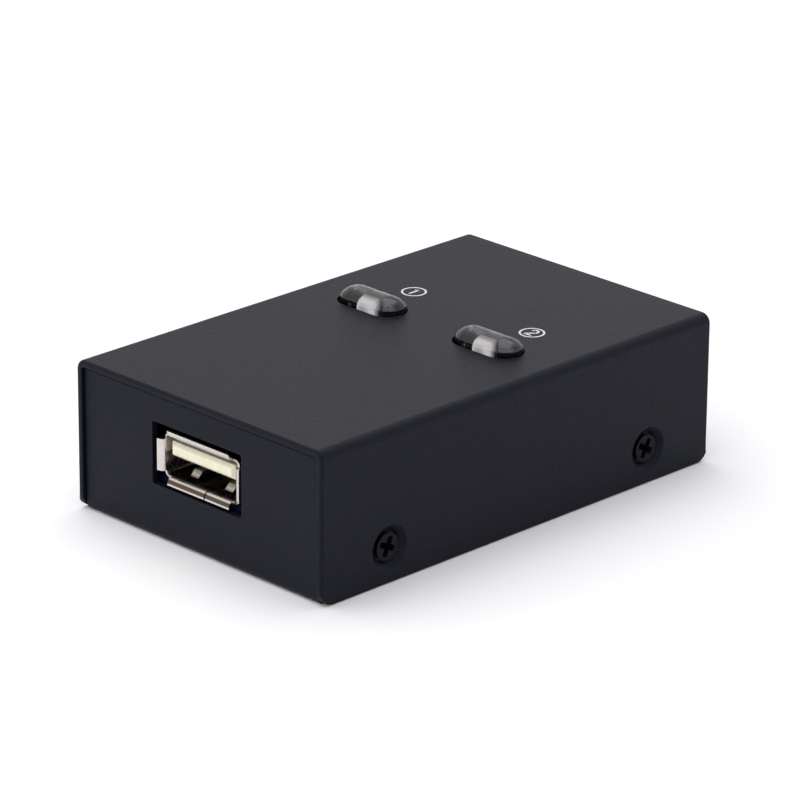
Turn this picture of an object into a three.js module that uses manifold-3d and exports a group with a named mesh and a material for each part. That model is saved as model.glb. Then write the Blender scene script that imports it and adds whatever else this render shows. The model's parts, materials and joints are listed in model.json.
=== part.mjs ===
// A sharing switch: one device port in front, two host ports behind and two push buttons on top,
// in a case of two folded sheets held by four countersunk screws.
// Millimetres. Seen from the front, +X is to the right; +Y runs back and +Z is up.
// The origin is the middle of the underside.
import * as THREE from "three";
import { mergeVertices } from "three/addons/utils/BufferGeometryUtils.js";
import Module from "manifold-3d";

const wasm = await Module();
wasm.setup();

// Case: a cover of top and side walls over a chassis of floor, front panel and back panel
const caseLength = 67.6;
const caseWidth = 43;
const caseHeight = 19.7;
const sheet = 0.9;
const coverBendInside = 0.4;
const coverCorner = 1.8;
const coverLift = 0.15;
const chassisBendInside = 0.1;
const panelRecess = 0.45;
const sideGap = 0.15;
const panelTopGap = 0.28;
const cutoutCorner = 0.3;
const cutoutShift = -0.2;

// Side tabs of the chassis, which take the cover screws
const coverScrewPitch = 45.2;
const coverScrewHeight = 4.6;
const tabLength = 8;
const tabTop = 8;
const tabCorner = 1.5;
const reliefWidth = 0.7;
const reliefDepth = 0.5;
const collarWall = 0.8;
const collarLength = 0.9;

// Screws: countersunk in the side walls, pan headed on the board
const thread = 2;
const threadGap = 0.1;
const tipChamfer = 0.35;
const coverScrewLength = 4;
const coverHeadDiameter = 3.6;
const coverHeadSink = 0.35;
const coverHeadRim = 0.2;
const countersinkGap = 0.55;
const boardHeadDiameter = 4.2;
const boardHeadHeight = 1.7;
const boardHeadRim = 0.9;
const boardHeadFlat = 2.6;
const boardScrewTip = 2.5;
const crossSpan = 2.8;
const crossArm = 0.75;
const crossPoint = 1.2;
const crossDepth = 1.3;
const coverScrewTurns = { front_right: -25, back_right: -30, front_left: 12, back_left: 40 };
const boardScrewTurns = { left: 20, right: 55, back: 5 };

// Circuit board on spacers that are pressed into the floor
const boardThickness = 1.6;
const boardSideGap = 2.55;
const boardEndGap = 0.95;
const boardCorner = 1;
const boardHoleGap = 0.2;
const spacerDiameter = 4.4;
const spacerHex = 4.8;
const spacerGap = 0.05;
const spacerInset = 0.05;
const spacerSideEdge = 3.4;
const spacerFrontEdge = 5.5;
const pinWidth = 0.6;
const pinGap = 0.15;
const pinTail = 1;

// Sheet metal and contacts that both kinds of port share
const portSheet = 0.3;
const partGap = 0.1;
const contactThickness = 0.25;
const legWidth = 1.6;
const legTaper = 0.4;

// Device port, set in the front panel
const deviceMouthWidth = 12.5;
const deviceMouthHeight = 5.12;
const deviceMouthCorner = 0.45;
const deviceCentre = 3.58;
const deviceDepth = 13.9;
const deviceX = -0.3;
const deviceLegSetBack = 10.3;
const devicePinInset = 0.9;
const lipReach = 0.85;
const lipBend = 0.4;
const lipSweep = 78;
const lipLength = 10.8;
const lipSideLength = 4.1;
const seamWidth = 0.2;
const seamOffset = 1.1;
const springWidth = 1.35;
const springLength = 5.2;
const springRise = 0.87;
const springRiseAbove = 0.5;
const springTip = 0.7;
const springPitch = 6.06;
const springSetBack = 2.35;
const springSlit = 0.25;
const tongueWidth = 11.1;
const tongueThickness = 1.84;
const tongueRise = 1;
const tongueSetBack = 0.7;
const tongueChamfer = 0.4;
const deviceBaseDepth = 4.2;
const deviceContacts = [-3.5, -1, 1, 3.5];
const deviceContactWidth = 1;
const contactSetBack = 2;
const contactProud = 0.1;
const cutoutSideGap = 0.55;
const cutoutHighGap = 0.56;
const cutoutLowGap = 0.42;

// Host ports, set in open notches of the back panel
const hostWidth = 12;
const hostHeight = 10.9;
const hostDepth = 16;
const hostSpacing = 6.4;
const hostProud = 0.2;
const hostTopGap = 0.4;
const hostNotchGap = 0.3;
const hostMouthWidth = 8.45;
const hostMouthHeight = 7.78;
const hostMouthChamfer = 1.9;
const hostMouthDepth = 9.2;
const hostTongueWidth = 5.6;
const hostTongueThickness = 3.2;
const hostTongueSetBack = 1.4;
const hostTongueChamfer = 0.5;
const hostContactWidth = 0.7;
const hostContactPitch = 2.5;
const hostContactSetBack = 1;
const hostPinRow = 12.2;
const hostPinRowPitch = 2;
const hostLegSetBack = 7.5;

// Push buttons
const buttonPitch = 20.2;
const buttonShift = 0.15;
const buttonSetBack = 5.5;
const slotLength = 10.5;
const slotWidth = 5.2;
const capGap = 0.3;
const capWall = 0.67;
const capCrown = 1.2;
const capFillet = 0.25;
const capRidge = 0.06;
const capSkin = 1.42;
const flangeGap = 0.35;
const flangeThickness = 0.8;
const flangeStep = 1;
const bossLength = 1.95;
const bossWall = 0.8;
const socketGap = 0.1;

// Tactile switches under the buttons
const switchSize = 6;
const switchHeight = 3.5;
const switchPlateThickness = 0.25;
const switchSkirt = 1.7;
const switchCorner = 0.3;
const switchBendInside = 0.05;
const switchCavityFloor = 1.1;
const switchPinPitch = 4.5;
const plungerDiameter = 3.2;
const plungerChamfer = 0.35;
const plungerFoot = 4.2;
const plungerFootHeight = 0.7;
const plungerNub = 1.2;
const plungerNubHeight = 0.25;
const plungerGap = 0.15;
const domeRise = 0.35;
const domeThickness = 0.12;

// Lamps that light the buttons
const lampDiameter = 3;
const lampFlange = 3.8;
const lampFlangeHeight = 0.9;
const lampHeight = 5.2;
const lampStand = 3.6;
const lampLeadPitch = 2.54;

// Chips and small components
const chipWidth = 3.9;
const chipHeight = 1.5;
const chipStand = 0.15;
const chipInset = 0.2;
const chipSpan = 6;
const chipEnd = 0.5;
const chipFoot = 0.6;
const leadPitch = 1.27;
const leadWidth = 0.42;
const leadThickness = 0.22;
const pathChipLeads = 8;
const controlChipLeads = 7;
const chipX = -7.5;
const crystalX = 7.5;
const crystalLength = 11;
const crystalWidth = 4.6;
const crystalHeight = 3.5;
const crystalRim = 0.4;
const crystalRimHeight = 0.5;
const crystalLeadPitch = 4.9;
const capacitorX = 8.75;
const capacitorPitch = 6.5;
const capacitorDiameter = 5;
const capacitorHeight = 5.8;
const capacitorGroove = 0.3;
const capacitorLeadPitch = 2;
const resistorX = -0.9;
const resistorPitch = 2.4;
const resistorLength = 2;
const resistorWidth = 1.25;
const resistorHeight = 0.55;
const resistorEnd = 0.4;
const resistorLip = 0.06;
const rowGap = 1.2;

// Fineness of curves. An arc in an outline gets twice as many facets as its number here, and a
// turned piece gets just as many in its whole turn.
const stadiumFacets = 6;
const bendFacets = 3;
const cornerFacets = 2;
const holeFacets = 3;
const crownFacets = 6;
const filletFacets = 3;
const headFacets = 3;
const turnedFacets = 24;
const smallFacets = 16;

// Places worked out from the sizes above
const degrees = Math.PI / 180;
const coverInnerTop = caseHeight - sheet;
const panelFace = caseLength / 2 - panelRecess;
const panelTop = coverInnerTop - panelTopGap;
const chassisHalf = caseWidth / 2 - sheet - sideGap;
const tabFace = sheet + sideGap;
const boreRadius = thread / 2 + threadGap;
const neckDepth = coverHeadSink + coverHeadRim + (coverHeadDiameter - thread) / 2;
const boardTop = coverInnerTop - hostTopGap - hostHeight;
const boardUnder = boardTop - boardThickness;
const boardHalfWidth = chassisHalf - sheet - boardSideGap;
const boardHalfLength = panelFace - sheet - boardEndGap;
const deviceFace = -panelFace;
const hostFace = panelFace + hostProud;
const hostX = (hostWidth + hostSpacing) / 2;
const hostCentre = hostHeight / 2;
const devicePinRow = deviceDepth - devicePinInset;
const tail = -boardThickness - pinTail;
const capLow = -sheet - flangeGap - flangeThickness;
const socketTop = capWall + capCrown - capSkin;
const plungerTop = caseHeight + socketTop - socketGap - boardTop;
const switchPinY = switchSize / 2 + contactThickness / 2;
const switchEdge = buttonPitch / 2 - buttonShift - switchSize / 2;
const lampX = switchEdge - switchPlateThickness - lampFlange / 2;
const firstRow = deviceFace + deviceDepth + rowGap + chipSpan / 2;
const secondRow = firstRow + chipSpan + rowGap;
const sides = [-1, 1];

const look = (color, roughness, metalness, opacity = 1) =>
  new THREE.MeshStandardMaterial({
    color,
    roughness,
    metalness,
    opacity,
    transparent: opacity < 1,
  });
const looks = {
  coat: look(0x2b2b30, 0.75, 0),
  blackScrew: look(0x16161a, 0.45, 0.6),
  zinc: look(0xb9bcc0, 0.35, 1),
  nickel: look(0xc9bfae, 0.25, 1),
  board: look(0x1d5b34, 0.5, 0),
  ivory: look(0xd9d6bb, 0.5, 0),
  white: look(0xe6e6e2, 0.5, 0),
  gold: look(0xd6ae58, 0.3, 1),
  smoke: look(0x77747a, 0.12, 0, 0.6),
  black: look(0x1b1b1c, 0.6, 0),
  lamp: look(0xe9e4dc, 0.2, 0, 0.8),
  sleeve: look(0x22304f, 0.4, 0),
};

// A closed three.js geometry as a solid that can be joined and cut.
function solid(geometry) {
  const bare = geometry.clone();
  bare.deleteAttribute("normal");
  bare.deleteAttribute("uv");
  const merged = mergeVertices(bare, 1e-5);
  const mesh = new wasm.Mesh({
    numProp: 3,
    vertProperties: merged.attributes.position.array,
    triVerts: new Uint32Array(merged.index.array),
  });
  return new wasm.Manifold(mesh);
}

// A solid as a named mesh, standing at a place in its group.
function piece(name, body, material, place = [0, 0, 0]) {
  const found = body.getMesh();
  const geometry = new THREE.BufferGeometry();
  geometry.setAttribute("position", new THREE.BufferAttribute(found.vertProperties, 3));
  geometry.setIndex(new THREE.BufferAttribute(found.triVerts, 1));
  const flat = geometry.toNonIndexed();
  flat.computeVertexNormals();
  const mesh = new THREE.Mesh(flat, material);
  mesh.name = name;
  mesh.position.set(...place);
  return mesh;
}

const joined = (first, ...rest) => rest.reduce((whole, next) => whole.add(next), first);
const cut = (first, ...rest) => rest.reduce((whole, next) => whole.subtract(next), first);
const moved = (body, x, y, z) => body.translate([x, y, z]);

// An outline pushed out square to its plane. The outline's X runs along one direction, its Y along
// another, and it is pushed the way that a right-handed screw would go from the first to the second.
function prism(shape, depth, along, up, start, facets) {
  const x = new THREE.Vector3(...along);
  const y = new THREE.Vector3(...up);
  const z = new THREE.Vector3().crossVectors(x, y);
  const turn = new THREE.Matrix4().makeBasis(x, y, z).setPosition(...start);
  const options = { depth, bevelEnabled: false, curveSegments: facets };
  return solid(new THREE.ExtrudeGeometry(shape, options).applyMatrix4(turn));
}
// upward takes an outline in X and Y, backward one in X and Z, and across one in Y and Z.
function upward(shape, low, high, facets = cornerFacets) {
  return prism(shape, high - low, [1, 0, 0], [0, 1, 0], [0, 0, low], facets);
}
function backward(shape, front, back, facets = cornerFacets) {
  return prism(shape, back - front, [1, 0, 0], [0, 0, 1], [0, back, 0], facets);
}
function across(shape, left, right, facets = cornerFacets) {
  return prism(shape, right - left, [0, 1, 0], [0, 0, 1], [left, 0, 0], facets);
}
// A profile of [radius, height] pairs, lowest first, turned about Z.
function turned(profile, facets = turnedFacets) {
  const points = profile.map(([radius, height]) => new THREE.Vector2(radius, height));
  return solid(new THREE.LatheGeometry(points, facets).rotateX(Math.PI / 2));
}
function rod(radius, low, high, facets = smallFacets) {
  return turned([[0, low], [radius, low], [radius, high], [0, high]], facets);
}

function outline(points) {
  return new THREE.Shape(points.map(([x, y]) => new THREE.Vector2(x, y)));
}
function rectangle(left, low, right, high) {
  return outline([[left, low], [right, low], [right, high], [left, high]]);
}
// A rectangle with a radius at each corner, from the lower left one round against the clock.
function rounded(left, low, right, high, radii) {
  const turn = Math.PI / 2;
  const corners = [[left, low, 1, 1], [right, low, -1, 1], [right, high, -1, -1], [left, high, 1, -1]];
  const shape = new THREE.Shape();
  corners.forEach(([x, y, inX, inY], i) => {
    const radius = radii[i];
    const begin = Math.PI + i * turn;
    const centreX = x + inX * radius;
    const centreY = y + inY * radius;
    const first = [centreX + radius * Math.cos(begin), centreY + radius * Math.sin(begin)];
    if (i === 0) shape.moveTo(...first);
    else shape.lineTo(...first);
    if (radius > 0) shape.absarc(centreX, centreY, radius, begin, begin + turn, false);
  });
  shape.closePath();
  return shape;
}
function evenlyRounded(left, low, right, high, radius) {
  return rounded(left, low, right, high, [radius, radius, radius, radius]);
}
function stadium(length, width) {
  const radius = width / 2;
  const straight = length / 2 - radius;
  const shape = new THREE.Shape();
  shape.moveTo(straight, -radius);
  shape.absarc(straight, 0, radius, -Math.PI / 2, Math.PI / 2, false);
  shape.lineTo(-straight, radius);
  shape.absarc(-straight, 0, radius, Math.PI / 2, 1.5 * Math.PI, false);
  shape.closePath();
  return shape;
}
function disc(radius, x, y) {
  const shape = new THREE.Shape();
  shape.absarc(x, y, radius, 0, 2 * Math.PI, false);
  return shape;
}
// A folded sheet seen on its edge: a floor from -half to half with a wall standing at each end.
function channel(half, height, inside, thickness) {
  const bend = inside + thickness;
  const turn = Math.PI / 2;
  const shape = new THREE.Shape();
  shape.moveTo(-half, height);
  shape.lineTo(-half, bend);
  shape.absarc(-half + bend, bend, bend, 2 * turn, 3 * turn, false);
  shape.lineTo(half - bend, 0);
  shape.absarc(half - bend, bend, bend, 3 * turn, 4 * turn, false);
  shape.lineTo(half, height);
  shape.lineTo(half - thickness, height);
  shape.lineTo(half - thickness, bend);
  shape.absarc(half - bend, bend, inside, 0, -turn, true);
  shape.lineTo(-half + bend, thickness);
  shape.absarc(-half + bend, bend, inside, 3 * turn, 2 * turn, true);
  shape.lineTo(-half + thickness, height);
  shape.closePath();
  return shape;
}
// A strip of metal seen on its edge, bent at each point of its middle line.
function strip(points, thickness) {
  const half = thickness / 2;
  const middle = points.map(([x, y]) => new THREE.Vector2(x, y));
  const headings = middle.slice(1).map((p, i) => p.clone().sub(middle[i]).normalize());
  const offsets = middle.map((p, i) => {
    const before = headings[Math.max(i - 1, 0)];
    const after = headings[Math.min(i, headings.length - 1)];
    const side = new THREE.Vector2(-before.y - after.y, before.x + after.x).normalize();
    const reach = half / (side.x * -before.y + side.y * before.x);
    return side.multiplyScalar(reach);
  });
  const left = middle.map((p, i) => p.clone().add(offsets[i]));
  const right = middle.map((p, i) => p.clone().sub(offsets[i]));
  return new THREE.Shape([...left, ...right.reverse()]);
}
// A closed skin through convex outlines of equal point counts, given lowest first as [shape, height].
function lofted(levels, facets) {
  const rings = levels.map(([shape, height]) => {
    const points = shape.getPoints(facets);
    if (points[0].distanceTo(points.at(-1)) < 1e-6) points.pop();
    return points.map((p) => [p.x, p.y, height]);
  });
  const count = rings[0].length;
  const index = [];
  for (let level = 0; level + 1 < rings.length; level += 1) {
    for (let i = 0; i < count; i += 1) {
      const a = level * count + i;
      const b = level * count + ((i + 1) % count);
      index.push(a, b, b + count, a, b + count, a + count);
    }
  }
  const last = (rings.length - 1) * count;
  for (let i = 1; i + 1 < count; i += 1) {
    index.push(0, i + 1, i);
    index.push(last, last + i, last + i + 1);
  }
  const geometry = new THREE.BufferGeometry();
  geometry.setAttribute("position", new THREE.Float32BufferAttribute(rings.flat(2), 3));
  geometry.setIndex(index);
  return solid(geometry);
}

// The tapered cross of a screw head whose flat top is at height 0.
function crossRecess() {
  const half = crossSpan / 2;
  const arm = crossArm / 2;
  const bars = joined(
    upward(rectangle(-half, -arm, half, arm), -crossDepth, 1),
    upward(rectangle(-arm, -half, arm, half), -crossDepth, 1),
  );
  const point = crossPoint / 2;
  const taper = [[0, -crossDepth], [point, -crossDepth], [half, 0], [half, 1], [0, 1]];
  return bars.intersect(turned(taper, smallFacets));
}
// Screws stand along Z, with the top of the head at height 0.
function coverScrew() {
  const head = coverHeadDiameter / 2;
  const shank = thread / 2;
  const body = turned([
    [0, -coverScrewLength],
    [shank - tipChamfer, -coverScrewLength],
    [shank, -coverScrewLength + tipChamfer],
    [shank, -coverHeadRim - head + shank],
    [head, -coverHeadRim],
    [head, 0],
    [0, 0],
  ]);
  return cut(body, crossRecess());
}
function boardScrew() {
  const head = boardHeadDiameter / 2;
  const shank = thread / 2;
  const tip = boardScrewTip - boardTop - boardHeadHeight;
  const flat = boardHeadFlat / 2;
  const crown = boardHeadHeight - boardHeadRim;
  const profile = [
    [0, tip],
    [shank - tipChamfer, tip],
    [shank, tip + tipChamfer],
    [shank, -boardHeadHeight],
    [head, -boardHeadHeight],
  ];
  for (let step = 0; step <= headFacets; step += 1) {
    const angle = (step / headFacets) * 90 * degrees;
    profile.push([flat + (head - flat) * Math.cos(angle), -crown * (1 - Math.sin(angle))]);
  }
  profile.push([0, 0]);
  return cut(turned(profile, smallFacets), crossRecess());
}

const coverScrews = sides.flatMap((side) =>
  sides.map((end) => ({
    side,
    y: (end * coverScrewPitch) / 2,
    place: (end < 0 ? "front_" : "back_") + (side < 0 ? "left" : "right"),
  })),
);
// A round cutter on one cover screw's axis, from [radius, depth] pairs, deepest last. Depth is
// counted from the side wall's outer face.
function onScrewAxis({ side, y }, profile, facets) {
  const tool = turned(profile.map(([radius, depth]) => [radius, -depth]).reverse(), facets);
  const laid = tool.rotate([0, side * 90, 0]);
  return moved(laid, (side * caseWidth) / 2, y, coverScrewHeight);
}

function cover() {
  const fold = channel(caseWidth / 2, caseHeight - coverLift, coverBendInside, sheet);
  const half = caseLength / 2;
  const folded = prism(fold, caseLength, [-1, 0, 0], [0, 0, -1], [0, half, caseHeight], bendFacets);
  const sideView = rounded(-half, coverLift, half, caseHeight + 1, [coverCorner, coverCorner, 0, 0]);
  const trimmed = folded.intersect(across(sideView, -caseWidth, caseWidth, bendFacets));
  const slot = upward(stadium(slotLength, slotWidth), coverInnerTop - 1, caseHeight + 1, stadiumFacets);
  const slots = sides.map((side) => moved(slot, (side * buttonPitch) / 2, buttonSetBack, 0));
  const coneTop = coverHeadDiameter / 2 + countersinkGap + coverHeadSink + coverHeadRim;
  const cone = [
    [0, -1],
    [coneTop + 1, -1],
    [coneTop - neckDepth, neckDepth],
    [0, neckDepth],
  ];
  return cut(trimmed, ...slots, ...coverScrews.map((screw) => onScrewAxis(screw, cone, turnedFacets)));
}

// One pair of side tabs, folded up from the floor, and the relief cuts beside them.
function tabPair(middle) {
  const front = middle - tabLength / 2;
  const back = middle + tabLength / 2;
  const fold = channel(chassisHalf, tabTop, chassisBendInside, sheet);
  const sideView = rounded(front, -1, back, tabTop, [0, 0, tabCorner, tabCorner]);
  const trim = across(sideView, -caseWidth, caseWidth);
  const floorEdge = chassisHalf - chassisBendInside - sheet - reliefDepth;
  const reliefs = sides.map((side) => {
    const ends = [side * floorEdge, side * caseWidth].sort((a, b) => a - b);
    return upward(rectangle(ends[0], front - reliefWidth, ends[1], back + reliefWidth), -1, sheet + 1);
  });
  return { tabs: backward(fold, front, back).intersect(trim), reliefs };
}
function chassis() {
  const side = channel(panelFace, panelTop, chassisBendInside, sheet);
  const folded = across(side, -chassisHalf, chassisHalf);
  const pairs = sides.map((end) => tabPair((end * coverScrewPitch) / 2));
  const collarEnd = tabFace + sheet + collarLength;
  const collar = [
    [0, tabFace + sheet / 2],
    [boreRadius + collarWall, tabFace + sheet / 2],
    [boreRadius + collarWall, collarEnd],
    [0, collarEnd],
  ];
  const flare = Math.max(neckDepth - tabFace, 0);
  const bore = [
    [0, tabFace - 1],
    [boreRadius + flare + 1, tabFace - 1],
    [boreRadius, tabFace + flare],
    [boreRadius, collarEnd + 1],
    [0, collarEnd + 1],
  ];
  const relieved = cut(folded, ...pairs.flatMap((pair) => pair.reliefs));
  const withTabs = joined(
    relieved,
    ...pairs.map((pair) => pair.tabs),
    ...coverScrews.map((screw) => onScrewAxis(screw, collar, smallFacets)),
  );
  return cut(
    withTabs,
    ...coverScrews.map((screw) => onScrewAxis(screw, bore, smallFacets)),
    ...spacers.map(({ x, y }) => moved(hexPrism(spacerHex + 2 * spacerGap, -1, sheet + 1), x, y, 0)),
    deviceCutout(),
    ...sides.map(hostNotch),
  );
}
function deviceCutout() {
  const centre = boardTop + deviceCentre;
  const lipEdge = portSheet / 2 + lipReach;
  const wide = deviceMouthWidth / 2 + lipEdge + cutoutSideGap;
  const tall = deviceMouthHeight / 2 + lipEdge;
  const low = centre - tall - cutoutLowGap;
  const high = centre + tall + cutoutHighGap;
  const middle = deviceX + cutoutShift;
  const shape = evenlyRounded(middle - wide, low, middle + wide, high, cutoutCorner);
  return backward(shape, -panelFace - 1, -panelFace + sheet + 1);
}
function hostNotch(side) {
  const half = hostWidth / 2 + hostNotchGap;
  const x = side * hostX;
  const low = boardTop - hostNotchGap;
  const shape = rounded(x - half, low, x + half, panelTop + 1, [cutoutCorner, cutoutCorner, 0, 0]);
  return backward(shape, panelFace - sheet - 1, panelFace + 1);
}

const spacerFrontY = -boardHalfLength + spacerFrontEdge;
const spacers = [
  { place: "left", x: -boardHalfWidth + spacerSideEdge, y: spacerFrontY },
  { place: "right", x: boardHalfWidth - spacerSideEdge, y: spacerFrontY },
  { place: "back", x: 0, y: hostFace - hostDepth / 2 },
];
function hexPrism(flats, low, high) {
  return upward(disc(flats / Math.sqrt(3), 0, 0), low, high, 3);
}
function spacer() {
  const barrel = rod(spacerDiameter / 2, spacerInset, boardUnder);
  const foot = hexPrism(spacerHex, spacerInset, sheet);
  return cut(joined(barrel, foot), rod(boreRadius, -1, boardUnder + 1));
}

// Every pin, lead and leg that passes through the board, as places in X and Y
function pinPlaces() {
  const places = deviceContacts.map((x) => [deviceX + x, deviceFace + devicePinRow]);
  for (const side of sides) {
    const button = (side * buttonPitch) / 2 + buttonShift;
    for (const other of sides) {
      for (const row of [hostPinRow, hostPinRow + hostPinRowPitch]) {
        places.push([side * hostX + (other * hostContactPitch) / 2, hostFace - row]);
      }
      for (const end of sides) {
        places.push([button + (end * switchPinPitch) / 2, buttonSetBack + other * switchPinY]);
      }
      places.push([side * lampX, buttonSetBack + (other * lampLeadPitch) / 2]);
      const capacitor = capacitorX + (side * capacitorPitch) / 2;
      places.push([capacitor + (other * capacitorLeadPitch) / 2, secondRow]);
    }
    places.push([crystalX + (side * crystalLeadPitch) / 2, firstRow]);
  }
  return places;
}
function legPlaces() {
  return sides.flatMap((side) => {
    const deviceSide = (side * (deviceMouthWidth + portSheet)) / 2;
    const device = [deviceX + deviceSide, deviceFace + deviceLegSetBack];
    const hosts = sides.map((edge) => [
      side * hostX + (edge * (hostWidth - portSheet)) / 2,
      hostFace - hostLegSetBack,
    ]);
    return [device, ...hosts];
  });
}
function circuitBoard() {
  const plate = evenlyRounded(
    -boardHalfWidth,
    -boardHalfLength,
    boardHalfWidth,
    boardHalfLength,
    boardCorner,
  );
  const low = boardUnder - 1;
  const high = boardTop + 1;
  const screwHole = boreRadius + boardHoleGap;
  const pinHole = pinWidth / Math.SQRT2 + pinGap;
  const slotX = portSheet / 2 + pinGap;
  const slotY = legWidth / 2 + pinGap;
  const legSlot = upward(rectangle(-slotX, -slotY, slotX, slotY), low, high);
  return cut(
    upward(plate, boardUnder, boardTop),
    ...spacers.map(({ x, y }) => upward(disc(screwHole, x, y), low, high, smallFacets / 2)),
    ...pinPlaces().map(([x, y]) => upward(disc(pinHole, x, y), low, high, holeFacets)),
    ...legPlaces().map(([x, y]) => moved(legSlot, x, y, 0)),
  );
}

// Ports are drawn with the mouth's face at y 0, the depth along +Y and the board's top at z 0.
// A leg of a port's shell, in the plane of its side wall.
function shellLeg(x, y, top) {
  const half = legWidth / 2;
  const shape = outline([
    [y - half, top],
    [y - half, tail + legTaper],
    [y - half + legTaper, tail],
    [y + half - legTaper, tail],
    [y + half, tail + legTaper],
    [y + half, top],
  ]);
  return across(shape, x - portSheet / 2, x + portSheet / 2);
}
// A flat contact that runs back at one height, then down through the board as a pin.
function contact({ front, height, row, width }, grow = 0) {
  const thickness = contactThickness + 2 * grow;
  const blade = width / 2 + grow;
  const pin = pinWidth / 2 + grow;
  const end = grow > 0 ? -1 : tail;
  const corner = [row, height];
  const flat = across(strip([[front - grow, height], corner], thickness), -blade, blade);
  const bend = strip([[row - thickness, height], corner, [row, end]], thickness);
  return joined(flat, across(bend, -pin, pin));
}

const lipStop = Math.PI - lipSweep * degrees;
const lipMiddle = lipBend + portSheet / 2;
const lipTail = (lipReach - lipMiddle - lipBend * Math.cos(lipStop)) / Math.sin(lipStop);
const tubeFront = (lipBend + portSheet) * Math.sin(lipStop) - Math.cos(lipStop) * lipTail;
// A lip seen on its edge: X leads outwards from the wall's middle, and Y leads to the front.
function lipSection() {
  const outer = lipBend + portSheet;
  const alongX = Math.sin(lipStop) * lipTail;
  const alongY = -Math.cos(lipStop) * lipTail;
  const at = (radius) => [
    lipMiddle + radius * Math.cos(lipStop) + alongX,
    radius * Math.sin(lipStop) + alongY,
  ];
  const shape = new THREE.Shape();
  shape.moveTo(-portSheet / 2, -portSheet);
  shape.lineTo(-portSheet / 2, 0);
  shape.absarc(lipMiddle, 0, outer, Math.PI, lipStop, true);
  shape.lineTo(...at(outer));
  shape.lineTo(...at(lipBend));
  shape.absarc(lipMiddle, 0, lipBend, lipStop, Math.PI, false);
  shape.lineTo(portSheet / 2, -portSheet);
  shape.closePath();
  return shape;
}
function deviceLips() {
  const x = (deviceMouthWidth + portSheet) / 2;
  const z = (deviceMouthHeight + portSheet) / 2;
  const edges = [
    { out: [0, 0, 1], start: [-lipLength / 2, z], length: lipLength },
    { out: [0, 0, -1], start: [lipLength / 2, -z], length: lipLength },
    { out: [1, 0, 0], start: [x, lipSideLength / 2], length: lipSideLength },
    { out: [-1, 0, 0], start: [-x, -lipSideLength / 2], length: lipSideLength },
  ];
  return edges.map(({ out, start, length }) => {
    const place = [start[0], tubeFront, deviceCentre + start[1]];
    return prism(lipSection(), length, out, [0, -1, 0], place, bendFacets);
  });
}
function deviceTube(grow) {
  const half = deviceMouthWidth / 2 + grow;
  const tall = deviceMouthHeight / 2 + grow;
  const radius = deviceMouthCorner + grow;
  return evenlyRounded(-half, deviceCentre - tall, half, deviceCentre + tall, radius);
}
// A spring leaf cut out of the bottom (face -1) or top (face 1) wall, and the window around it.
function springLeaf(face, x) {
  const wall = deviceCentre + face * (deviceMouthHeight / 2);
  const middle = wall + (face * portSheet) / 2;
  const back = springSetBack + springLength;
  const rise = face < 0 ? springRise : springRiseAbove;
  const bump = wall - face * (rise - portSheet / 2);
  const shape = strip(
    [
      [back + portSheet, middle],
      [back, middle],
      [springSetBack + 2 * springTip, bump],
      [springSetBack + springTip, bump],
      [springSetBack, middle - (face * portSheet) / 2],
    ],
    portSheet,
  );
  const leaf = across(shape, x - springWidth / 2, x + springWidth / 2);
  const half = springWidth / 2 + springSlit;
  const window = upward(
    rectangle(x - half, springSetBack - springSlit, x + half, back),
    wall - 2 * portSheet,
    wall + 2 * portSheet,
  );
  return { leaf, window };
}
function deviceShell() {
  const baseFront = deviceDepth - deviceBaseDepth - partGap;
  const half = deviceMouthWidth / 2;
  const low = deviceCentre - deviceMouthHeight / 2;
  const leaves = sides.flatMap((face) => sides.map((end) => springLeaf(face, (end * springPitch) / 2)));
  const tube = cut(
    backward(deviceTube(portSheet), tubeFront, deviceDepth, bendFacets),
    backward(deviceTube(0), tubeFront - 1, deviceDepth + 1, bendFacets),
    ...leaves.map(({ window }) => window),
    backward(rectangle(-half, -lipReach, half, low + deviceMouthCorner), baseFront, deviceDepth + 1),
  );
  const legs = sides.map((side) =>
    shellLeg(side * (half + portSheet / 2), deviceLegSetBack, deviceCentre),
  );
  const seam = rectangle(seamOffset - seamWidth / 2, -lipReach, seamOffset + seamWidth / 2, low + portSheet);
  const whole = joined(tube, ...deviceLips(), ...legs, ...leaves.map(({ leaf }) => leaf));
  return cut(whole, backward(seam, -1, deviceDepth + 1));
}
const tongueLow = deviceCentre + tongueRise - tongueThickness / 2;
const deviceContact = {
  front: contactSetBack,
  height: tongueLow + contactThickness / 2 - contactProud,
  row: devicePinRow,
  width: deviceContactWidth,
};
function deviceInsulator() {
  const baseFront = deviceDepth - deviceBaseDepth;
  const baseBack = deviceDepth - partGap;
  const high = tongueLow + tongueThickness;
  const chamfer = tongueChamfer;
  const half = tongueWidth / 2;
  const front = tongueSetBack;
  const sideView = outline([
    [front, tongueLow + chamfer],
    [front + chamfer, tongueLow],
    [baseFront + 1, tongueLow],
    [baseFront + 1, high],
    [front + chamfer, high],
    [front, high - chamfer],
  ]);
  const plan = outline([
    [-half + chamfer, front],
    [half - chamfer, front],
    [half, front + chamfer],
    [half, baseFront + 1],
    [-half, baseFront + 1],
    [-half, front + chamfer],
  ]);
  const tongue = across(sideView, -half, half).intersect(upward(plan, 0, high + 1));
  const baseHalf = deviceMouthWidth / 2 - partGap;
  const baseTop = deviceCentre + deviceMouthHeight / 2 - partGap;
  const corner = deviceMouthCorner;
  const baseShape = rounded(-baseHalf, 0, baseHalf, baseTop, [0, 0, corner, corner]);
  const base = backward(baseShape, baseFront, baseBack, bendFacets);
  const slot = contact(deviceContact, partGap);
  return cut(joined(tongue, base), ...deviceContacts.map((x) => moved(slot, x, 0, 0)));
}
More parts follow.
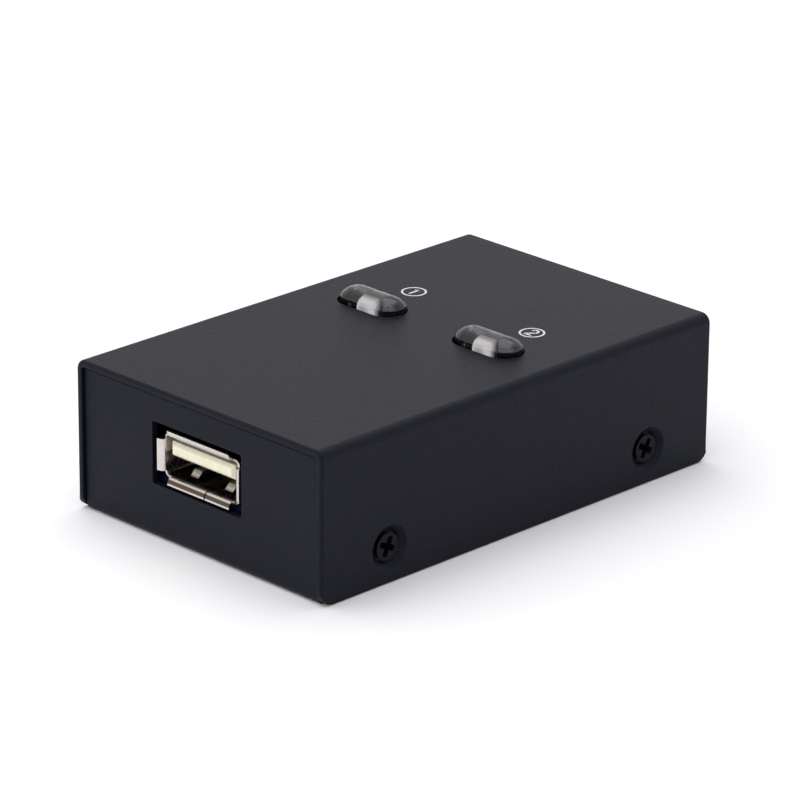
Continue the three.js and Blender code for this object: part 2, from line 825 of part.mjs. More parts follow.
function devicePort() {
  const group = new THREE.Group();
  group.position.set(deviceX, deviceFace, boardTop);
  group.add(piece("device_port_shell", deviceShell(), looks.nickel));
  group.add(piece("device_port_insulator", deviceInsulator(), looks.ivory));
  deviceContacts.forEach((x, i) => {
    const name = "device_port_contact_" + (i + 1);
    group.add(piece(name, contact(deviceContact), looks.gold, [x, 0, 0]));
  });
  return group;
}

// The mouth of a host port: a rectangle with its two upper corners cut off.
function hostMouth() {
  const half = hostMouthWidth / 2;
  const low = hostCentre - hostMouthHeight / 2;
  const high = hostCentre + hostMouthHeight / 2;
  return outline([
    [-half, low],
    [half, low],
    [half, high - hostMouthChamfer],
    [half - hostMouthChamfer, high],
    [-half + hostMouthChamfer, high],
    [-half, high - hostMouthChamfer],
  ]);
}
function hostShell() {
  const half = hostWidth / 2;
  const bend = 2 * portSheet;
  const outer = rounded(-half, partGap, half, hostHeight, [0, 0, bend, bend]);
  const innerHalf = half - portSheet;
  const inner = rounded(-innerHalf, 0, innerHalf, hostHeight - portSheet, [0, 0, portSheet, portSheet]);
  const box = cut(
    backward(outer, 0, hostDepth),
    backward(inner, portSheet, hostDepth - portSheet),
    backward(hostMouth(), -1, portSheet + 1),
  );
  const legs = sides.map((side) => shellLeg(side * (half - portSheet / 2), hostLegSetBack, hostCentre));
  return joined(box, ...legs);
}
// The upper contacts (face 1) come down in the back row of pins, the lower ones in the front row.
function hostContact(face) {
  return {
    front: hostTongueSetBack + hostContactSetBack,
    height: hostCentre + (face * hostTongueThickness) / 2,
    row: face > 0 ? hostPinRow + hostPinRowPitch : hostPinRow,
    width: hostContactWidth,
  };
}
function hostTongue() {
  const half = hostTongueWidth / 2;
  const tall = hostTongueThickness / 2;
  const section = (inset) =>
    rectangle(-half + inset, -tall + inset, half - inset, tall - inset);
  const levels = [
    [section(0), 0],
    [section(0), hostMouthDepth + 1 - hostTongueSetBack - hostTongueChamfer],
    [section(hostTongueChamfer), hostMouthDepth + 1 - hostTongueSetBack],
  ];
  return moved(lofted(levels, 1).rotate([90, 0, 0]), 0, hostMouthDepth + 1, hostCentre);
}
function hostInsulator() {
  const half = hostWidth / 2 - portSheet - partGap;
  const top = hostHeight - portSheet - partGap;
  const front = portSheet + partGap;
  const bend = portSheet;
  const block = rounded(-half, 0, half, top, [0, 0, bend, bend]);
  const hollow = cut(
    backward(block, front, hostDepth - front),
    backward(hostMouth(), -1, hostMouthDepth),
  );
  const slots = sides.flatMap((face) => {
    const slot = contact(hostContact(face), partGap);
    return sides.map((side) => moved(slot, (side * hostContactPitch) / 2, 0, 0));
  });
  return cut(joined(hollow, hostTongue()), ...slots);
}
function hostPort(number, x) {
  const prefix = "host_port_" + number;
  const group = new THREE.Group();
  group.position.set(x, hostFace, boardTop);
  group.rotation.z = Math.PI;
  group.add(piece(prefix + "_shell", hostShell(), looks.nickel));
  group.add(piece(prefix + "_insulator", hostInsulator(), looks.white));
  let count = 0;
  for (const face of sides) {
    for (const side of sides) {
      count += 1;
      const place = [(side * hostContactPitch) / 2, 0, 0];
      group.add(piece(prefix + "_contact_" + count, contact(hostContact(face)), looks.gold, place));
    }
  }
  return group;
}

// A button cap, drawn with the top face of the cover at z 0: a crowned stadium above, a flange that
// stays under the cover, and a boss whose socket takes the plunger.
function buttonCap() {
  const radius = slotWidth / 2 - capGap;
  const straight = slotLength / 2 - capGap - radius;
  const at = (r) => stadium(2 * (straight + r), 2 * r);
  const arc = (radius * radius + capCrown * capCrown) / (2 * capCrown);
  const arcCentre = capWall + capCrown - arc;
  const filletX = radius - capFillet;
  const filletZ = arcCentre + Math.sqrt((arc - capFillet) ** 2 - filletX ** 2);
  const blend = Math.atan2(filletZ - arcCentre, filletX);
  const levels = [[at(radius), capLow]];
  for (let step = 0; step <= filletFacets; step += 1) {
    const angle = (step / filletFacets) * blend;
    const shape = at(filletX + capFillet * Math.cos(angle));
    levels.push([shape, filletZ + capFillet * Math.sin(angle)]);
  }
  const ridge = Math.acos(capRidge / arc);
  for (let step = 1; step <= crownFacets; step += 1) {
    const angle = blend + (step / crownFacets) * (ridge - blend);
    levels.push([at(arc * Math.cos(angle)), arcCentre + arc * Math.sin(angle)]);
  }
  const flange = upward(at(radius + flangeStep), capLow, capLow + flangeThickness, stadiumFacets);
  const socketRadius = plungerDiameter / 2 + socketGap;
  const boss = rod(socketRadius + bossWall, capLow - bossLength, capLow + flangeThickness);
  const socket = rod(socketRadius, capLow - bossLength - 1, socketTop, turnedFacets);
  return cut(joined(lofted(levels, stadiumFacets), flange, boss), socket);
}

// A switch, drawn with the board's top at z 0: base, contact dome, plunger and steel plate.
function switchBase() {
  const half = switchSize / 2 - switchPlateThickness;
  const top = switchHeight - switchPlateThickness;
  const deep = switchSize / 2;
  const block = upward(evenlyRounded(-half, -deep, half, deep, switchCorner), 0, top);
  const cavity = rod(plungerFoot / 2 + plungerGap, switchCavityFloor, top + 1);
  const pins = sides.flatMap((side) =>
    sides.map((end) => {
      const y = side * switchPinY;
      const shape = rectangle(y - contactThickness, tail, y + contactThickness, switchCavityFloor);
      const x = (end * switchPinPitch) / 2;
      return across(shape, x - pinWidth / 2, x + pinWidth / 2);
    }),
  );
  return joined(cut(block, cavity), ...pins);
}
function switchPlate() {
  const fold = channel(switchSize / 2, switchSkirt, switchBendInside, switchPlateThickness);
  const deep = switchSize / 2;
  const plate = prism(fold, switchSize, [-1, 0, 0], [0, 0, -1], [0, deep, switchHeight], cornerFacets);
  return cut(plate, rod(plungerDiameter / 2 + plungerGap, 0, switchHeight + 1));
}
function switchPlunger() {
  const footTop = switchHeight - switchPlateThickness - plungerGap;
  const footLow = footTop - plungerFootHeight;
  return turned(
    [
      [0, footLow - plungerNubHeight],
      [plungerNub / 2, footLow - plungerNubHeight],
      [plungerNub / 2, footLow],
      [plungerFoot / 2, footLow],
      [plungerFoot / 2, footTop],
      [plungerDiameter / 2, footTop],
      [plungerDiameter / 2, plungerTop - plungerChamfer],
      [plungerDiameter / 2 - plungerChamfer, plungerTop],
      [0, plungerTop],
    ],
    turnedFacets,
  );
}
function switchDome() {
  const half = plungerFoot / 2;
  const arc = (half * half + domeRise * domeRise) / (2 * domeRise);
  const steps = 4;
  const widest = Math.asin(half / arc);
  const centre = switchCavityFloor - (arc - domeThickness) * Math.cos(widest);
  const skin = (radius) =>
    Array.from({ length: steps + 1 }, (_, i) => {
      const angle = (widest * i) / steps;
      return [radius * Math.sin(angle), centre + radius * Math.cos(angle)];
    });
  return turned([...skin(arc - domeThickness), ...skin(arc).reverse()], smallFacets);
}

// A lamp on its two leads, drawn with the board's top at z 0.
function lamp() {
  const radius = lampDiameter / 2;
  const crownStart = lampStand + lampHeight - radius;
  const profile = [
    [0, lampStand],
    [lampFlange / 2, lampStand],
    [lampFlange / 2, lampStand + lampFlangeHeight],
    [radius, lampStand + lampFlangeHeight],
  ];
  for (let step = 0; step < crownFacets; step += 1) {
    const angle = (step / crownFacets) * 90 * degrees;
    profile.push([radius * Math.cos(angle), crownStart + radius * Math.sin(angle)]);
  }
  profile.push([0, lampStand + lampHeight]);
  return joined(turned(profile, smallFacets), ...leadPair(lampLeadPitch, lampStand, "y"));
}
// Two square leads that run down through the board from a height, side by side along an axis.
function leadPair(pitch, height, axis) {
  const half = pinWidth / 2;
  const lead = upward(rectangle(-half, -half, half, half), tail, height + half);
  return sides.map((side) => {
    const offset = (side * pitch) / 2;
    return axis === "x" ? moved(lead, offset, 0, 0) : moved(lead, 0, offset, 0);
  });
}

// A chip with a row of bent leads along each long side, its length along X.
function chip(leads) {
  const half = ((leads - 1) * leadPitch) / 2 + chipEnd + leadWidth / 2;
  const deep = chipWidth / 2;
  const section = (inset) =>
    rectangle(-half + inset, -deep + inset, half - inset, deep - inset);
  const middle = chipStand + chipHeight / 2;
  const body = lofted(
    [
      [section(chipInset), chipStand],
      [section(0), middle],
      [section(chipInset), chipStand + chipHeight],
    ],
    1,
  );
  const rest = leadThickness / 2;
  const bend = chipSpan / 2 - chipFoot;
  const leadRows = sides.map((side) => {
    const path = [
      [side * (deep - chipInset), middle],
      [side * (deep + (bend - deep) / 2), middle],
      [side * bend, rest],
      [(side * chipSpan) / 2, rest],
    ];
    const lead = across(strip(path, leadThickness), -leadWidth / 2, leadWidth / 2);
    return Array.from({ length: leads }, (_, i) => moved(lead, (i - (leads - 1) / 2) * leadPitch, 0, 0));
  });
  return joined(body, ...leadRows.flat());
}
function crystal() {
  const can = lofted(
    [
      [stadium(crystalLength, crystalWidth), 0],
      [stadium(crystalLength, crystalWidth), crystalRimHeight],
      [stadium(crystalLength - 2 * crystalRim, crystalWidth - 2 * crystalRim), crystalRimHeight],
      [stadium(crystalLength - 2 * crystalRim, crystalWidth - 2 * crystalRim), crystalHeight],
    ],
    bendFacets,
  );
  return joined(can, ...leadPair(crystalLeadPitch, 0, "x"));
}
function capacitor() {
  const radius = capacitorDiameter / 2;
  const groove = capacitorGroove;
  const profile = [
    [0, 0],
    [radius - groove, 0],
    [radius, groove],
    [radius, 2 * groove],
    [radius - groove, 3 * groove],
    [radius, 4 * groove],
    [radius, capacitorHeight - groove],
    [radius - groove, capacitorHeight],
    [0, capacitorHeight],
  ];
  return joined(turned(profile, smallFacets), ...leadPair(capacitorLeadPitch, 0, "x"));
}
function resistor() {
  const half = resistorLength / 2;
  const low = resistorHeight - resistorLip;
  const shape = outline([
    [-half, 0],
    [half, 0],
    [half, resistorHeight],
    [half - resistorEnd, resistorHeight],
    [half - resistorEnd, low],
    [-half + resistorEnd, low],
    [-half + resistorEnd, resistorHeight],
    [-half, resistorHeight],
  ]);
  return across(shape, -resistorWidth / 2, resistorWidth / 2);
}

function enclosure() {
  const group = new THREE.Group();
  group.add(piece("cover", cover(), looks.coat));
  group.add(piece("chassis", chassis(), looks.coat));
  for (const { side, y, place } of coverScrews) {
    const x = side * (caseWidth / 2 - coverHeadSink);
    const screw = piece("cover_screw_" + place, coverScrew(), looks.blackScrew, [x, y, coverScrewHeight]);
    screw.rotation.set(0, (side * Math.PI) / 2, coverScrewTurns[place] * degrees);
    group.add(screw);
  }
  return group;
}
function boardMounting() {
  const group = new THREE.Group();
  group.add(piece("circuit_board", circuitBoard(), looks.board));
  for (const { place, x, y } of spacers) {
    group.add(piece("board_spacer_" + place, spacer(), looks.zinc, [x, y, 0]));
    const top = boardTop + boardHeadHeight;
    const screw = piece("board_screw_" + place, boardScrew(), looks.zinc, [x, y, top]);
    screw.rotation.z = boardScrewTurns[place] * degrees;
    group.add(screw);
  }
  return group;
}
function button(number, side) {
  const group = new THREE.Group();
  group.position.set((side * buttonPitch) / 2 + buttonShift, buttonSetBack, boardTop);
  group.add(piece("button_cap_" + number, buttonCap(), looks.smoke, [0, 0, caseHeight - boardTop]));
  group.add(piece("switch_plunger_" + number, switchPlunger(), looks.white));
  group.add(piece("switch_plate_" + number, switchPlate(), looks.zinc));
  group.add(piece("switch_base_" + number, switchBase(), looks.black));
  group.add(piece("switch_dome_" + number, switchDome(), looks.zinc));
  return group;
}
function components() {
  const group = new THREE.Group();
  group.position.z = boardTop;
  group.add(piece("path_chip", chip(pathChipLeads), looks.black, [chipX, firstRow, 0]));
  group.add(piece("control_chip", chip(controlChipLeads), looks.black, [chipX, secondRow, 0]));
  group.add(piece("crystal", crystal(), looks.zinc, [crystalX, firstRow, 0]));
  sides.forEach((side, i) => {
    const number = i + 1;
    const x = capacitorX + (side * capacitorPitch) / 2;
    group.add(piece("capacitor_" + number, capacitor(), looks.sleeve, [x, secondRow, 0]));
    group.add(piece("lamp_" + number, lamp(), looks.lamp, [side * lampX, buttonSetBack, 0]));
    sides.forEach((end, j) => {
      const place = [
        resistorX + (side * resistorPitch) / 2,
        secondRow + (end * (resistorPitch + partGap)) / 2,
        0,
      ];
      group.add(piece("resistor_" + (2 * i + j + 1), resistor(), looks.black, place));
    });
  });
  return group;
}

const sharingSwitch = new THREE.Group();
sharingSwitch.add(enclosure(), boardMounting(), devicePort(), components());
sides.forEach((side, i) => {
  sharingSwitch.add(button(i + 1, side));
  sharingSwitch.add(hostPort(i + 1, side * hostX));
});

export default sharingSwitch;
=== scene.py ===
"""Looks for the sharing switch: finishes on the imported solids, clear caps, ink numerals and a studio."""

import json
import math

import bmesh
import bpy
from mathutils import Matrix, Vector


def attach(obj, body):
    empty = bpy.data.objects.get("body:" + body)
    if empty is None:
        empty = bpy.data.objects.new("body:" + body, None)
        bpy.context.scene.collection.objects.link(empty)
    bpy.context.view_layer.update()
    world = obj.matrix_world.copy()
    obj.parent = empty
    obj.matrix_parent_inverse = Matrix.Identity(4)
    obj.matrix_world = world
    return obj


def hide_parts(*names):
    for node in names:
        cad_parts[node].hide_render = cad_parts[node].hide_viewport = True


MM = 0.001

# Sizes of the case, in millimetres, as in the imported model
CASE_TOP = 19.7
BUTTON_PITCH = 20.2
BUTTON_SHIFT = 0.15
BUTTON_Y = 5.5
SLOT_LENGTH = 10.5
SLOT_WIDTH = 5.2
CAP_GAP = 0.3
CAP_WALL = 0.67
CAP_CROWN = 1.2
CAP_FILLET = 0.25
CAP_LOW = -2.05
FLANGE_STEP = 1.0
FLANGE_THICKNESS = 0.8

# Top of the white stem that the cap presses, and the chamfer on its edge
STEM_TOP = 20.05
STEM_CHAMFER = 0.35

# Device port: the plane of its face, its inner width and height, and a brown band on its lip
PORT_FACE = -33.35
PORT_INNER_X = (-6.6, 6.0)
PORT_INNER_Z = (8.52, 13.64)
PORT_LIP_BAND = (7.72, 8.35)

# Depth of the cover screws' heads, as a distance from the middle of the case
SCREW_HEAD_X = 21.05

# Camera, fitted to the photograph's perspective
CAMERA_AZIMUTH = 44.982
CAMERA_ELEVATION = 21.2351
CAMERA_ROLL = 0.4791
CAMERA_DISTANCE = 592.85
CAMERA_AIM = (0.0913, 1.5425)
CAMERA_HEIGHT = 9.855
CAMERA_FOCAL = 4786.08
PRINCIPAL = (-1.745, -2.405)
IMAGE_SIZE = 800
SENSOR = 36.0


def srgb(*levels):
    """Linear colour for sRGB levels from 0 to 255."""
    shares = [level / 255 for level in levels]
    return tuple(s / 12.92 if s <= 0.04045 else ((s + 0.055) / 1.055) ** 2.4 for s in shares)


# Camera

def make_camera():
    azimuth, elevation = math.radians(CAMERA_AZIMUTH), math.radians(CAMERA_ELEVATION)
    roll = math.radians(CAMERA_ROLL)
    back = Vector((
        math.sin(azimuth) * math.cos(elevation),
        -math.cos(azimuth) * math.cos(elevation),
        math.sin(elevation),
    ))
    right = Vector((math.cos(azimuth), math.sin(azimuth), 0))
    up = back.cross(right)
    turned_right = right * math.cos(roll) + up * math.sin(roll)
    turned_up = up * math.cos(roll) - right * math.sin(roll)
    place = Vector((0, 0, CAMERA_HEIGHT)) + back * CAMERA_DISTANCE
    place += turned_right * CAMERA_AIM[0] + turned_up * CAMERA_AIM[1]
    data = bpy.data.cameras.new("camera")
    data.sensor_width = SENSOR
    data.sensor_fit = "HORIZONTAL"
    data.lens = CAMERA_FOCAL / IMAGE_SIZE * SENSOR
    data.shift_x = -PRINCIPAL[0] / IMAGE_SIZE
    data.shift_y = PRINCIPAL[1] / IMAGE_SIZE
    data.clip_start, data.clip_end = 0.01, 20
    camera = bpy.data.objects.new("camera", data)
    turn = Matrix((turned_right, turned_up, back)).transposed().to_4x4()
    camera.matrix_world = Matrix.Translation(place * MM) @ turn
    bpy.context.scene.collection.objects.link(camera)
    bpy.context.scene.camera = camera


# Materials

class Finish:
    """A node material around one Principled shader, with its detail in object coordinates."""

    def __init__(self, name, color, roughness, metallic=0.0):
        self.material = bpy.data.materials.new(name)
        self.material.use_nodes = True
        self.tree = self.material.node_tree
        self.tree.nodes.clear()
        self.output = self.tree.nodes.new("ShaderNodeOutputMaterial")
        self.shader = self.tree.nodes.new("ShaderNodeBsdfPrincipled")
        self.tree.links.new(self.shader.outputs["BSDF"], self.output.inputs["Surface"])
        self.place = self.tree.nodes.new("ShaderNodeTexCoord").outputs["Object"]
        self.color = color
        self.roughness = roughness
        self.set("Base Color", (*color, 1))
        self.set("Roughness", roughness)
        self.set("Metallic", metallic)

    def set(self, socket, value):
        self.shader.inputs[socket].default_value = value

    def noise(self, size, detail=2.0, stretch=(1, 1, 1), roughness=0.5):
        """Noise whose features are about size millimetres across."""
        mapping = self.tree.nodes.new("ShaderNodeMapping")
        mapping.inputs["Scale"].default_value = [s / (size * MM) for s in stretch]
        self.tree.links.new(self.place, mapping.inputs["Vector"])
        node = self.tree.nodes.new("ShaderNodeTexNoise")
        node.inputs["Scale"].default_value = 1.0
        node.inputs["Detail"].default_value = detail
        node.inputs["Roughness"].default_value = roughness
        self.tree.links.new(mapping.outputs["Vector"], node.inputs["Vector"])
        return node.outputs["Fac"]

    def spread(self, value, low, high, start=0.3, end=0.7):
        """Maps a value between start and end to between low and high."""
        node = self.tree.nodes.new("ShaderNodeMapRange")
        node.inputs["From Min"].default_value = start
        node.inputs["From Max"].default_value = end
        node.inputs["To Min"].default_value = low
        node.inputs["To Max"].default_value = high
        self.tree.links.new(value, node.inputs["Value"])
        return node.outputs["Result"]

    def tint(self, value, dark, light, start=0.3, end=0.7):
        """Colours the surface from dark to light by a value."""
        node = self.tree.nodes.new("ShaderNodeMix")
        node.data_type = "RGBA"
        self.tree.links.new(self.spread(value, 0, 1, start, end), node.inputs["Factor"])
        node.inputs["A"].default_value = (*dark, 1)
        node.inputs["B"].default_value = (*light, 1)
        self.tree.links.new(node.outputs["Result"], self.shader.inputs["Base Color"])

    def vary(self, value, share):
        """Colour a share darker and lighter than the plain colour."""
        dark = [c * (1 - share) for c in self.color]
        light = [c * (1 + share) for c in self.color]
        self.tint(value, dark, light)

    def wear(self, value, amount):
        """Roughness an amount below and above the plain roughness."""
        made = self.spread(value, self.roughness - amount, self.roughness + amount)
        self.tree.links.new(made, self.shader.inputs["Roughness"])

    def roughen(self, value):
        self.tree.links.new(value, self.shader.inputs["Roughness"])

    def bump(self, height, depth, strength=1.0):
        """Relief of the given depth in millimetres."""
        node = self.tree.nodes.new("ShaderNodeBump")
        node.inputs["Strength"].default_value = strength
        node.inputs["Distance"].default_value = depth * MM
        self.tree.links.new(height, node.inputs["Height"])
        self.tree.links.new(node.outputs["Normal"], self.shader.inputs["Normal"])

    def inside(self, axis, low, high, soft):
        """1 where the object coordinate, in millimetres, is between low and high, fading over soft."""
        axes = self.tree.nodes.new("ShaderNodeSeparateXYZ")
        self.tree.links.new(self.place, axes.inputs[0])
        rise = self.spread(axes.outputs[axis], 0, 1, low * MM, (low + soft) * MM)
        fall = self.spread(axes.outputs[axis], 1, 0, (high - soft) * MM, high * MM)
        return self.math("MINIMUM", rise, fall)

    def math(self, operation, first, second):
        node = self.tree.nodes.new("ShaderNodeMath")
        node.operation = operation
        for value, socket in ((first, node.inputs[0]), (second, node.inputs[1])):
            if isinstance(value, (int, float)):
                socket.default_value = value
            else:
                self.tree.links.new(value, socket)
        return node.outputs[0]

    def shade_over(self, mask, color):
        """Lays another colour over what colours the surface now, by a mask."""
        node = self.tree.nodes.new("ShaderNodeMix")
        node.data_type = "RGBA"
        self.tree.links.new(mask, node.inputs["Factor"])
        socket = self.shader.inputs["Base Color"]
        self.tree.links.new(socket.links[0].from_socket, node.inputs["A"])
        node.inputs["B"].default_value = (*color, 1)
        self.tree.links.new(node.outputs["Result"], socket)

    def add(self, first, second, share):
        """Two values mixed by a share of the second."""
        node = self.tree.nodes.new("ShaderNodeMix")
        node.inputs["Factor"].default_value = share
        self.tree.links.new(first, node.inputs["A"])
        self.tree.links.new(second, node.inputs["B"])
        return node.outputs["Result"]


def coat_finish():
    """Fine black powder coat: a grain of about a quarter of a millimetre and a coarser mottle."""
    finish = Finish("powder_coat", srgb(18, 20, 28), 0.45)
    grain = finish.noise(0.24, detail=2, roughness=0.55)
    broad = finish.noise(1.3, detail=1)
    finish.vary(finish.add(grain, broad, 0.3), 0.35)
    finish.wear(grain, 0.06)
    mottle = finish.noise(0.45, detail=1)
    finish.bump(finish.add(grain, mottle, 0.4), 0.07, 0.9)
    finish.set("Specular IOR Level", 0.13)
    finish.set("Specular Tint", (0.84, 0.835, 1.0, 1))
    return finish.material


def nickel_finish():
    """Nickel plate, with painted shade within the device port and a brown band along its lower lip."""
    finish = Finish("nickel_plate", srgb(214, 208, 203), 0.24, 1.0)
    finish.vary(finish.noise(2.5, detail=2), 0.06)
    # Painted shade: the floor and roof inside the device port are darkened from half a millimetre behind its
    # face inwards
    shade_depth = finish.inside("Y", PORT_FACE + 0.5, 0, 0.7)
    within = finish.math("MULTIPLY", shade_depth, finish.inside("X", *PORT_INNER_X, 0.1))
    near_floor = finish.inside("Z", PORT_INNER_Z[0] - 0.4, PORT_INNER_Z[0] + 0.4, 0.3)
    near_roof = finish.inside("Z", PORT_INNER_Z[1] - 0.5, PORT_INNER_Z[1] + 0.5, 0.3)
    port_shade = finish.math("MULTIPLY", within, finish.math("MAXIMUM", near_floor, near_roof))
    finish.shade_over(port_shade, srgb(40, 38, 40))
    # A browner band laid along the face of the lower lip
    low_face = finish.inside("Y", PORT_FACE - 5, PORT_FACE + 0.6, 0.2)
    lip = finish.math("MULTIPLY", finish.inside("Z", *PORT_LIP_BAND, 0.12), low_face)
    finish.shade_over(lip, srgb(92, 78, 68))
    finish.wear(finish.noise(0.3, detail=3), 0.05)
    finish.bump(finish.noise(0.12, detail=2), 0.004, 0.3)
    return finish.material


def zinc_finish():
    finish = Finish("zinc_plate", srgb(190, 193, 199), 0.32, 1.0)
    finish.vary(finish.noise(1.2, detail=3), 0.1)
    finish.wear(finish.noise(0.4, detail=3), 0.08)
    finish.bump(finish.noise(0.15), 0.005, 0.3)
    return finish.material


def black_screw_finish():
    """Blackened screws, with painted shade and more roughness below the face of the head, in the cross
    recess.
    """
    finish = Finish("black_screw", srgb(17, 18, 27), 0.45)
    finish.vary(finish.noise(0.35, detail=3), 0.3)
    finish.set("Specular IOR Level", 0.1)
    # Painted shade in the cross recess, below the face of the head
    shade_depth = finish.inside("X", -SCREW_HEAD_X, SCREW_HEAD_X, 0.1)
    finish.shade_over(shade_depth, srgb(4, 4, 6))
    rough = finish.spread(finish.noise(0.25, detail=3), 0.36, 0.54)
    finish.roughen(finish.math("MAXIMUM", rough, shade_depth))
    finish.bump(finish.noise(0.1, detail=2), 0.008, 0.4)
    return finish.material


def gold_finish():
    finish = Finish("gold_plate", srgb(226, 190, 110), 0.24, 1.0)
    finish.vary(finish.noise(0.6), 0.08)
    finish.wear(finish.noise(0.2), 0.05)
    finish.bump(finish.noise(0.1), 0.003, 0.3)
    return finish.material


def moulded_finish(name, color, roughness, share=0.05, grain=0.12):
    """Moulded plastic with a faint eroded grain."""
    finish = Finish(name, color, roughness)
    finish.vary(finish.noise(0.8, detail=3), share)
    finish.wear(finish.noise(grain * 2, detail=2), 0.05)
    finish.bump(finish.noise(grain, detail=3), 0.006, 0.35)
    return finish


def ivory_finish():
    finish = moulded_finish("ivory_plastic", srgb(240, 236, 210), 0.42)
    finish.set("Subsurface Weight", 0.15)
    finish.set("Subsurface Scale", 0.0006)
    return finish.material


def white_finish():
    finish = moulded_finish("white_plastic", srgb(232, 230, 226), 0.4)
    finish.set("Subsurface Weight", 0.1)
    finish.set("Subsurface Scale", 0.0005)
    return finish.material


def black_finish():
    return moulded_finish("black_plastic", srgb(30, 30, 31), 0.5, 0.15).material


def board_finish():
    """Solder mask over a faint weave and darker bare stretches between the copper."""
    finish = Finish("circuit_board", srgb(16, 30, 66), 0.35)
    patches = finish.noise(3.2, detail=0, stretch=(1, 0.4, 1))
    finish.tint(patches, srgb(12, 22, 50), srgb(22, 38, 82), 0.46, 0.52)
    finish.wear(finish.noise(0.5), 0.06)
    finish.bump(patches, 0.02, 0.4)
    return finish.material


def sleeve_finish():
    finish = moulded_finish("capacitor_sleeve", srgb(34, 48, 84), 0.3, 0.08)
    finish.set("Coat Weight", 0.3)
    return finish.material


def smoky_finish():
    """Clear plastic that turns smoky with depth, with a hint of orange peel."""
    finish = Finish("smoky_plastic", srgb(246, 244, 246), 0.07)
    finish.set("Transmission Weight", 1.0)
    finish.set("IOR", 1.49)
    finish.wear(finish.noise(0.9, detail=1), 0.02)
    finish.bump(finish.noise(1.6, detail=1), 0.01, 0.12)
    depth = finish.tree.nodes.new("ShaderNodeVolumeAbsorption")
    depth.inputs["Color"].default_value = (*srgb(186, 182, 188), 1)
    depth.inputs["Density"].default_value = 360
    finish.tree.links.new(depth.outputs[0], finish.output.inputs["Volume"])
    return finish.material


# Painted light on the stem: the colour of a painted shade at its back, and the strengths of a painted glow on
# its top and its side
STEM_WHITE = srgb(248, 247, 244)
STEM_PAINTED_SHADE = srgb(84, 83, 86)
STEM_PAINTED_GLOW_TOP, STEM_PAINTED_GLOW_SIDE = 0.34, 0.58


def stem_finish():
    """Milky white switch stem, white at its front and fading to a painted shade at its back, with a painted
    glow on its front for the light that the cap leads in.
    """
    finish = moulded_finish("stem_plastic", STEM_WHITE, 0.4)
    side = finish.inside("Z", 0, STEM_TOP - STEM_CHAMFER, 0.04)
    front = finish.inside("Y", BUTTON_Y - 2, BUTTON_Y + 0.3, 0.9)
    # Painted shade towards the back and a painted glow on the front, brighter on the side than on the top
    finish.tint(front, STEM_PAINTED_SHADE, STEM_WHITE, 0, 1)
    finish.set("Emission Color", (1, 0.99, 0.97, 1))
    finish.tree.links.new(
        finish.math("MULTIPLY", front, finish.spread(side, STEM_PAINTED_GLOW_TOP, STEM_PAINTED_GLOW_SIDE, 0, 1)),
        finish.shader.inputs["Emission Strength"],
    )
    return finish.material


def lamp_finish():
    finish = Finish("clear_lamp", srgb(236, 232, 226), 0.08)
    finish.set("Transmission Weight", 0.7)
    finish.set("IOR", 1.5)
    finish.wear(finish.noise(0.5), 0.04)
    return finish.material


def ink_finish():
    """White print, thinner at the grain of the coat beneath."""
    finish = Finish("white_ink", srgb(226, 228, 232), 0.5)
    finish.tint(finish.noise(0.16, detail=2), srgb(196, 198, 206), srgb(238, 240, 244), 0.3, 0.6)
    finish.bump(finish.noise(0.2, detail=2), 0.01, 0.4)
    return finish.material


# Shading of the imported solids

# Edges over this many degrees are rounded, and the cut ends of the cover's sheet by more
SHARP_ANGLE = 32
EDGE_STEPS = 2
CUT_EDGE_ROUND = 0.42
CUT_EDGE_STEPS = 4

# The cut ends lie beyond this distance along Y, and their outer edges beyond these along X, along
# Z and along the slant of the two. The inner edges have a share of the outer ones' rounding
CUT_END_Y = 33.7
OUTER_X = 21.2
OUTER_Z = 19.4
OUTER_SLANT = 39.9
INNER_SHARE = 0.35

# Triangles join at points this near, and faces join where they are flat within this many degrees
WELD_REACH = 0.002
FLAT_ANGLE = 0.6
SMOOTH_ALL = 181


def geometry_group(name, sharp_angle):
    """Welds a solid's triangles and shades it smooth, apart from edges over the given angle."""
    tree = bpy.data.node_groups.new(name, "GeometryNodeTree")
    for way in ("INPUT", "OUTPUT"):
        tree.interface.new_socket("Geometry", in_out=way, socket_type="NodeSocketGeometry")
    start = tree.nodes.new("NodeGroupInput")
    end = tree.nodes.new("NodeGroupOutput")
    bare = tree.nodes.new("GeometryNodeRemoveAttribute")
    bare.inputs["Name"].default_value = "custom_normal"
    weld = tree.nodes.new("GeometryNodeMergeByDistance")
    weld.inputs["Distance"].default_value = WELD_REACH * MM
    smooth = tree.nodes.new("GeometryNodeSetShadeSmooth")
    smooth.domain = "FACE"
    angle = tree.nodes.new("GeometryNodeInputMeshEdgeAngle")
    blunt = tree.nodes.new("FunctionNodeCompare")
    blunt.data_type = "FLOAT"
    blunt.operation = "LESS_THAN"
    blunt.inputs["B"].default_value = math.radians(sharp_angle)
    edges = tree.nodes.new("GeometryNodeSetShadeSmooth")
    edges.domain = "EDGE"
    tree.links.new(start.outputs[0], bare.inputs[0])
    tree.links.new(bare.outputs[0], weld.inputs[0])
    tree.links.new(weld.outputs[0], smooth.inputs[0])
    tree.links.new(smooth.outputs[0], edges.inputs[0])
    tree.links.new(angle.outputs["Unsigned Angle"], blunt.inputs["A"])
    tree.links.new(blunt.outputs["Result"], edges.inputs["Shade Smooth"])
    tree.links.new(edges.outputs[0], end.inputs[0])
    return tree


